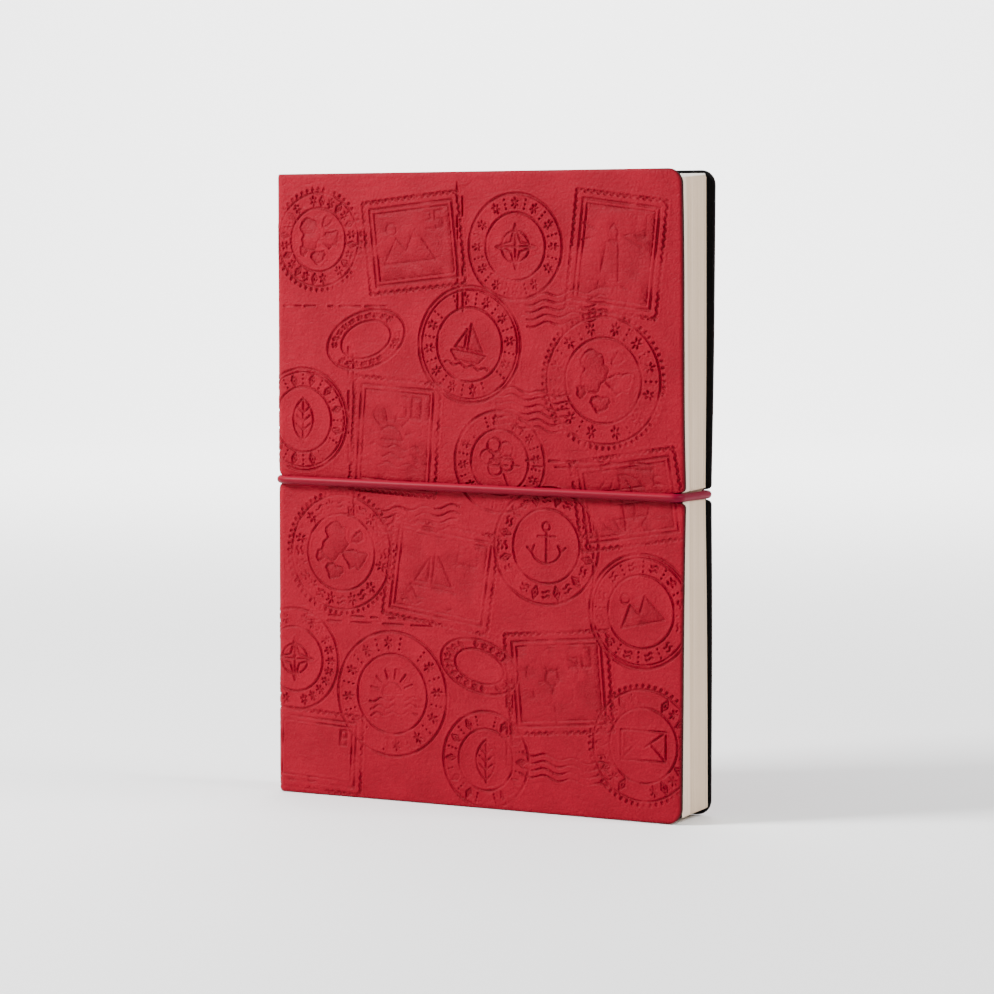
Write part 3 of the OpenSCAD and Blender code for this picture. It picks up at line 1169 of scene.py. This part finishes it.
def unfold(made, sign):
    """A texture map that is the flat sheet itself: the outside large, the inside and rim small."""
    mesh = made.data
    at = np.zeros(len(mesh.vertices) * 3)
    mesh.vertices.foreach_get("co", at)
    at = at.reshape(-1, 3) / MM - (SPINE_X, -HALF, 0)
    x, y = at[:, 0], at[:, 1] if sign > 0 else 2 * HALF - at[:, 1]
    turn = np.arctan2(np.clip(SHOULDER - y, 0, None), np.clip(SHOULDER - x, 1e-6, None))
    q = np.where(x > SHOULDER, x + FACE_Q, np.where(y > SHOULDER, HALF - y, FLAT + turn * SHOULDER))
    normal = np.zeros(len(mesh.polygons) * 3)
    mesh.polygons.foreach_get("normal", normal)
    corner = np.zeros(len(mesh.loops), int)
    mesh.loops.foreach_get("vertex_index", corner)
    total = np.zeros(len(mesh.polygons), int)
    mesh.polygons.foreach_get("loop_total", total)
    face = np.repeat(np.arange(len(total)), total)
    normal = normal.reshape(-1, 3)
    starts = np.concatenate([[0], np.cumsum(total)[:-1]])
    centre = np.add.reduceat(at[corner], starts) / total[:, None]
    from_face = np.minimum(centre[:, 1], 2 * HALF - centre[:, 1])
    towards = np.where(centre[:, 1] < HALF, -1, 1)
    out_x = -np.clip(SHOULDER - centre[:, 0], 0, None)
    out_y = towards * np.clip(SHOULDER - from_face, 0.001, None)
    out = np.stack([out_x, out_y, np.zeros(len(total))], -1)
    side = (normal * out).sum(1) > 0.25 * np.linalg.norm(out, axis=1)
    uv = np.stack([q[corner] / 180 + 0.004, at[corner, 2] / 180 + 0.004], -1)
    hidden = ~side[face]
    uv[hidden] = uv[hidden] * 0.26 + (0.735, 0.01)
    layer = mesh.uv_layers.new(name="OFBake")
    layer.data.foreach_set("uv", uv.astype(np.float32).ravel())

# %% Build each half of the wrap


def wrap_half(name, sign):
    """Half of the wrap: sign is 1 towards the front cover and -1 towards the back cover."""
    columns = steps(0, EDGE_Q, FINE, [(EDGE_Q - 1, EDGE_Q, FINE / 2)])
    q, z = to_edge(columns, round_ends(0, HEIGHT, FINE, CORNER, [NEAR_CORD]))
    height, pressed = emboss(sign * q, z)
    from_fore_edge = cover_edge(z) - (q - FACE_Q)
    from_edge = np.minimum(np.minimum(from_fore_edge, z), HEIGHT - z)
    roll = ROLL_DEEP * (1 - np.sqrt(1 - np.clip(1 - from_edge / ROLL_WIDE, 0, 1) ** 2))
    height = height * np.clip(from_edge / 0.8, 0, 1)
    outer = lay(sign * np.maximum(q, 1e-9), z, roll - height)
    inner = lay(sign * np.maximum(q, 1e-9), z, np.full(q.shape, SHEET_T - 0.01))
    rows, count = q.shape
    points = np.concatenate([outer.reshape(-1, 3), inner.reshape(-1, 3)])
    made = mesh_of(name, points, slab_faces(rows, count), LEATHERETTE)
    if sign < 0:
        made.data.flip_normals()
    store(made, "pressed", np.concatenate([pressed.ravel(), np.zeros(q.size)]))
    # Painted shade along the cut fore-edge, partly a darker cut edge, and a painted shadow of the
    # cord in a strip just below it.
    cut = np.clip(1 - from_fore_edge / CUT_DARK, 0, 1) ** 1.3
    under_cord = (cord_height(q - FACE_Q) - CORD_SHADOW_BELOW - z) / CORD_SHADOW_WIDE
    cord_shadow = 0.5 * np.exp(-(under_cord**2)) * (q > FACE_Q)
    store(made, "dark_edge_and_cord_shadow", np.tile(np.maximum(cut, cord_shadow).ravel(), 2))
    thin(made, TRIANGLES)
    unfold(made, sign)
    y = 0.0 if sign > 0 else 2 * HALF
    frame_point(HINGE - 0.3, y)
    frame_point(HINGE + 0.6, y)
    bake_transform(made)
    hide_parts("front_cover_skin" if sign > 0 else "back_cover_skin", "spine_skin")
    return made


wrap_half("leatherette_front", 1)
wrap_half("leatherette_back", -1)

# %% [markdown]
# ## Card, endpapers and spine linings
# Each cover is stiffened by thin black card with black paper pasted inside. Only the cut edges show
# when the album is shut. Under the leatherette of the spine lie a card strip and the gauze that is
# glued over the folds. Flat plates would do for a stiff book, but these covers bend. So each layer
# is laid by the same function as the leatherette and stays tight under it.

# %% Lay the stiff layers


def layer(name, node, sign, depths, inset, material, body, slot):
    """One layer of a cover between two depths, a little inside its outline."""
    columns = steps(HINGE_Q + 0.12, EDGE_Q, 4, [(EDGE_Q - 1, EDGE_Q, 0.5)])
    z = round_ends(0, HEIGHT, 4, CORNER, [(MID_Z - 5.2, MID_Z + 5.2, 0.25)])
    q, z = to_edge(columns, z)
    q = q - inset * (q > EDGE_Q - PULLED)
    z = z + np.sign(MID_Z - z) * inset * (np.abs(z - MID_Z) > MID_Z - CORNER)
    grids = [lay(sign * q, z, np.full(q.shape, depth)).reshape(-1, 3) for depth in depths]
    made = outwards(mesh_of(name, np.concatenate(grids), slab_faces(*q.shape), material, 40))
    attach(made, body)
    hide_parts(node)
    return made


GLUE = SKIN_T + BOARD_T
for side, sign in (("front", 1), ("back", -1)):
    body = f"{side}_cover"
    depths = (SHEET_T, GLUE)
    layer(f"{side}_card", f"{body}_board", sign, depths, 0.02, CARD, body, "cover_card")
    depths = (GLUE, COVER_T)
    layer(f"{side}_pastedown", f"{body}_lining", sign, depths, 0.04, ENDPAPER, body, "black_paper")
print("both covers have their card and their black paper")

# %% Line the spine


def spine_strip(name, node, depths, ends, material):
    """A strip that lines the spine from hinge to hinge, between two depths."""
    reach = HINGE_Q - 0.05
    around = steps(-reach, reach, 1.0, [(-FLAT - ARC, -FLAT, 0.4), (FLAT, FLAT + ARC, 0.4)])
    up = steps(*ends, 4, [(MID_Z - 6, MID_Z + 6, 0.3)])
    q, z = np.meshgrid(around, up)
    grids = [lay(q, z, np.full(q.shape, depth)).reshape(-1, 3) for depth in depths]
    made = outwards(mesh_of(name, np.concatenate(grids), slab_faces(*q.shape), material, 40))
    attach(made, "book_block")
    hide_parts(node)
    return made


mull_low, mull_high = box_mm("spine_mull")
STRIP_T, GAUZE_T = 0.3, 0.25
STRIP_AT = SHEET_T
GAUZE_AT = max(mull_low[0] - SPINE_X, STRIP_AT + STRIP_T)
depths = (STRIP_AT, STRIP_AT + STRIP_T)
spine_strip("spine_card_strip", "spine_card", depths, (0.2, HEIGHT - 0.2), CARD)
depths = (GAUZE_AT, GAUZE_AT + GAUZE_T)
spine_strip("gauze", "spine_mull", depths, (mull_low[2], mull_high[2]), GAUZE)
print(f"the gauze lies {GAUZE_AT:.2f} under the outside of the spine")

# %% [markdown]
# ## Leaves
# Every group of leaves is cut a hair unevenly, which is what makes a fore-edge look like paper and
# not like wood. One block with a striped texture would be lighter, but its edge would stay flat in
# slanting light. So a section is made of bundles of leaves, each with its own length. Each section
# is folded, so its leaves end in a half round at the spine. All leaves follow the covers as they
# spring apart, and all are dented where the cord squeezes them.

# %% Cut one leaf
# LIFT is how much higher the back of the block stands than its front. A section is made of BUNDLES
# with AIR on each side of a bundle, and each is short by a chance amount of about UNEVEN.
page_low, page_high = box_mm("section_01")
PAGE_X = page_high[0] - SPINE_X
PAGE_Z = (page_low[2], page_high[2])
PAGE_BACK = box_mm("section_10")[1][1] + HALF
LIFT = 0.7
BUNDLES = 8
AIR = 0.004
UNEVEN = 0.045
rng = np.random.default_rng(7)


def page_edge(z, extra=0.0):
    """The fore-edge of the leaves. The block sits a little askew in its cover, and the head corner
    is slightly bruised."""
    askew = 0.42 - 0.8 * (z - MID_Z) / MID_Z
    bruise = 0.45 * np.clip(1 - (PAGE_Z[1] - z) / 1.1, 0, 1)
    tail = 0.25 * np.clip(1 - (z - PAGE_Z[0]) / 0.4, 0, 1) ** 2
    room = CORD_R + 0.06
    off = np.abs(z - MID_Z)
    under_cord = CORD_END - np.sqrt(np.clip(room**2 - off**2, 0, None))
    free = PAGE_X + askew - bruise - tail
    return np.where(off < room, np.minimum(free, under_cord), free) - extra


def sheet_of_paper(x_left, y, thick, short=0.0, columns=10):
    """Points and faces of one leaf, or of a few leaves that lie tight together."""
    fine = [(MID_Z - 2.2, MID_Z + 2.2, 0.18)]
    z = round_ends(*PAGE_Z, 5, 1.2, fine)
    share = np.linspace(0, 1, columns) ** 0.8
    left = x_left + cord_dent(z) * (1 if x_left < 4 else 0)
    x = left[:, None] + share * (page_edge(z, short) - left)[:, None]
    z = np.broadcast_to(z[:, None], x.shape) + LIFT * y / (2 * HALF)
    sides = [np.stack([x, np.full(x.shape, at), z], -1) for at in (y, y + thick)]
    points = np.concatenate([spread(side).reshape(-1, 3) for side in sides])
    return points, slab_faces(*x.shape)[:, ::-1]


def stack(name, sheets, material):
    """One closed mesh for several sheets of paper that lie on each other."""
    points, faces, count = [], [], 0
    for p, f in sheets:
        points.append(p)
        faces.append(f + count)
        count += len(p)
    return outwards(mesh_of(name, np.concatenate(points), np.concatenate(faces), material, 30))


print(f"a leaf is {PAGE_Z[1] - PAGE_Z[0]:.1f} high")

# %% Gather the sections


def section(number):
    """One folded section, as bundles of leaves that follow a half round at the spine."""
    node = f"section_{number:02d}"
    low, high = box_mm(node)
    y0, y1 = low[1] + HALF, high[1] + HALF
    fold_x = low[0] - SPINE_X
    radius = (y1 - y0) / 2
    thick = (y1 - y0) / BUNDLES
    sheets = []
    for k in range(BUNDLES):
        y = y0 + k * thick
        off = min(abs(y + thick / 2 - (y0 + y1) / 2), radius)
        left = fold_x + radius - math.sqrt(radius**2 - off**2)
        worn = 0.1 * max(0.0, 1 - (PAGE_BACK - y - thick / 2) / 1.0) ** 2
        short = worn + abs(rng.normal(0, UNEVEN))
        sheets.append(sheet_of_paper(left, y + AIR, thick - 2 * AIR, short))
    # The first two sections get the paler copy of the paper, painted light beside the front cover.
    made = stack(f"pages_{number:02d}", sheets, PAPER if number > 2 else PAINTED_LIGHT_PAPER)
    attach(made, "book_block")
    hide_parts(node)
    return made


for number in range(1, 11):
    section(number)
print("ten sections gathered")

# %% Cut the leaves that turn


def turning(name, node, root, material, columns=70):
    """A leaf that turns, as one sheet from its sewn margin in the block to the fore-edge."""
    low, high = box_mm(node)
    root_low, _ = box_mm(root)
    crease = low[0] - SPINE_X
    y = low[1] + HALF
    left = max(root_low[0] - SPINE_X, crease - 3.0)
    sheet = sheet_of_paper(left, y, high[1] - low[1], abs(rng.normal(0, 0.03)), columns)
    made = stack(name, [sheet], material)
    frame_point(crease - 0.5, y)
    frame_point(crease + 16, y)
    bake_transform(made)
    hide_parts(node, root)
    return made


for side in ("front", "back"):
    leaf_name = f"{side}_flyleaf"
    root = f"{leaf_name}_root"
    turning(f"endpaper_{side}", leaf_name, root, ENDPAPER)
for number in range(1, 7):
    leaf_name = f"leaf_{number:02d}"
    # The turning leaves get the paler copy of the paper too, painted light.
    turning(f"page_{leaf_name}", leaf_name, "leaf_roots", PAINTED_LIGHT_PAPER)

# %% [markdown]
# ## The elastic cord
# A round covered elastic runs once round the book at half height and sits in the notches. It is
# stretched, so it is straight on the covers and turns each edge in a tight round. A curve with a
# round bevel would give the same tube, but rings of points placed one by one let each point also say
# where the cord is bent tight and where it faces up.

# %% Find the line of the cord


def cord_path():
    """The middle line of the cord: four rounded corners joined by straight runs."""
    x0, x1 = CORD_X, CORD_END
    y0, y1 = -CORD_R - CORD_LIFT, 2 * HALF + CORD_R + CORD_LIFT
    e, s = CORD_BEND["edge"], CORD_BEND["spine"]
    corners = (
        (x1 - e, y0 + e, -90, e),
        (x1 - e, y1 - e, 0, e),
        (x0 + s, y1 - s, 90, s),
        (x0 + s, y0 + s, 180, s),
    )
    ring = np.concatenate([arc(r, start, start + 90, (x, y), 16) for x, y, start, r in corners])
    ring = np.concatenate([ring, ring[:1]])
    dense = []
    for a, b in zip(ring[:-1], ring[1:]):
        parts = max(1, int(np.hypot(*(b - a)) / 2.5))
        dense += [a + (b - a) * k / parts for k in range(parts)]
    return np.array(dense)


CORD_LINE = cord_path()
print("the middle line of the cord has", len(CORD_LINE), "points")

# %% Make the cord


def cord(path, sides=28):
    """A closed tube round that line."""
    ahead = np.roll(path, -1, 0) - np.roll(path, 1, 0)
    outward = np.stack([ahead[:, 1], -ahead[:, 0]], -1) / np.hypot(*ahead.T)[:, None]
    a = np.linspace(0, 2 * math.pi, sides, endpoint=False)
    flat = path[:, None, :] + outward[:, None, :] * (CORD_R * np.cos(a))[None, :, None]
    z = cord_height(path[:, :1]) + np.broadcast_to(CORD_R * np.sin(a), flat.shape[:2])
    points = np.concatenate([flat, z[..., None]], -1)
    i = np.arange(len(path))[:, None] * sides
    j = np.arange(sides)
    i2, j2 = np.roll(i, -1, 0), np.roll(j, -1)
    faces = np.stack([i + j, i2 + j, i2 + j2, i + j2], -1).reshape(-1, 4)
    made = outwards(mesh_of("round_cord", points, faces, CORD, 80))
    store(made, "turned", np.repeat(np.clip((path[:, 0] - CORD_END + 2.4) / 1.6, 0, 1), sides))
    # This attribute is 1 on the top of the cord and 0 underneath, for its painted light from above.
    store(made, "painted_top_light", np.tile(0.5 + 0.5 * np.sin(a), len(path)))
    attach(made, "elastic_cord")
    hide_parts("elastic_cord")
    return made


cord(CORD_LINE)
print("the cord is", round(2 * CORD_R, 2), "thick")

# %% [markdown]
# ## Dress what is left of the frame
# The thread links the sections through their folds. It could be drawn again as twisted strands, but
# it hides under the gauze, so it stays as it was packed and only gets a finish.

# %% Finish the thread
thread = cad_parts["sewing_thread"]
thread.data.materials.clear()
thread.data.materials.append(THREAD)
print("the thread has its finish")

# %% [markdown]
# ## Light, floor and camera
# A small key light from the upper left and front models the embossing. A larger one would be kinder
# to the background, but it would wash the grooves out. A second soft light from the right opens up
# the cut edges of the leaves, and a third brightens the wall. The floor is a sweep of pale paper
# that curves up far behind the book, as in a product studio, so no horizon line crosses the view.

# %% Light the room
VIEW_TURN = 28.12
world = bpy.data.worlds.new("pale_room")
world.use_nodes = True
background = world.node_tree.nodes["Background"]
background.inputs["Color"].default_value = (1, 1, 1, 1)
background.inputs["Strength"].default_value = 0.4
bpy.context.scene.world = world


def light(name, place, aim, size, watts):
    """A square lamp with sides of that size, in metres."""
    data = bpy.data.lights.new(name, "AREA")
    data.size, data.energy = size, watts
    lamp = bpy.data.objects.new(name, data)
    lamp.location = place
    lamp.rotation_euler = (Vector(aim) - Vector(place)).to_track_quat("-Z", "Y").to_euler()
    bpy.context.scene.collection.objects.link(lamp)
    lamp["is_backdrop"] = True


def turned_place(across, ahead, up):
    """A place given as the camera sees it: to its right, away from it, and up, in metres."""
    x, y = turned([(across, ahead)], VIEW_TURN)[0]
    return x, y, up


light("key", (-0.5, -0.47, 0.585), (0, 0, 0.085), 0.24, 18.2)
light("leaf_edges", (1.1, 0.1, 0.85), (0, 0, 0.085), 0.5, 19)
light("backdrop_light", turned_place(0, 1.3, 1.7), turned_place(0, 2.9, 0.3), 1.2, 150)

# %% Curve the floor up into a wall


def sweep(depth=2.0, radius=0.9, height=3.0, half_width=4.0):
    """A floor that curves up into a wall, seen straight on by the camera."""
    quarter = np.linspace(0, math.pi / 2, 24)
    bend = [(depth + radius * math.sin(a), radius * (1 - math.cos(a))) for a in quarter]
    profile = [(-3.0, 0.0), (-0.5, 0.0), (0.5, 0.0), *bend, (depth + radius, height)]
    points = []
    for ahead, up in profile:
        for across in (-half_width, half_width):
            x, y, _ = turned_place(across, ahead, 0)
            points.append((x / MM - SPINE_X, y / MM + HALF, up / MM - 0.2))
    faces = grid_faces(len(profile), 2)
    pale = Finish("pale_paper_sweep")
    tone = pale.noise(0.004, 2.0)
    colour = pale.mix(tone, rgb(245, 245, 245), rgb(248, 248, 248))
    made = mesh_of("floor", points, faces, pale.done(Base_Color=colour, Roughness=0.95))
    made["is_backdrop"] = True


sweep()
print("floor laid")

# %% Set the camera
camera = bpy.data.objects.new("camera", bpy.data.cameras.new("camera"))
camera.data.lens = 124.6
camera.data.sensor_width = 36
camera.data.clip_end = 50
camera.location = frame_point(499.4, -805.25, 144.26)
camera.rotation_euler = (math.radians(90 - 3.8), 0, math.radians(VIEW_TURN))
bpy.context.scene.collection.objects.link(camera)
bpy.context.scene.camera = camera
print("camera", round(camera.location.length, 2), "metres from the middle of the album's foot")

# %% Check the box and finish
scene_box = [list(corner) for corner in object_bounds()]
print("box of the scene in mm:", [[round(v / MM, 2) for v in corner] for corner in scene_box])
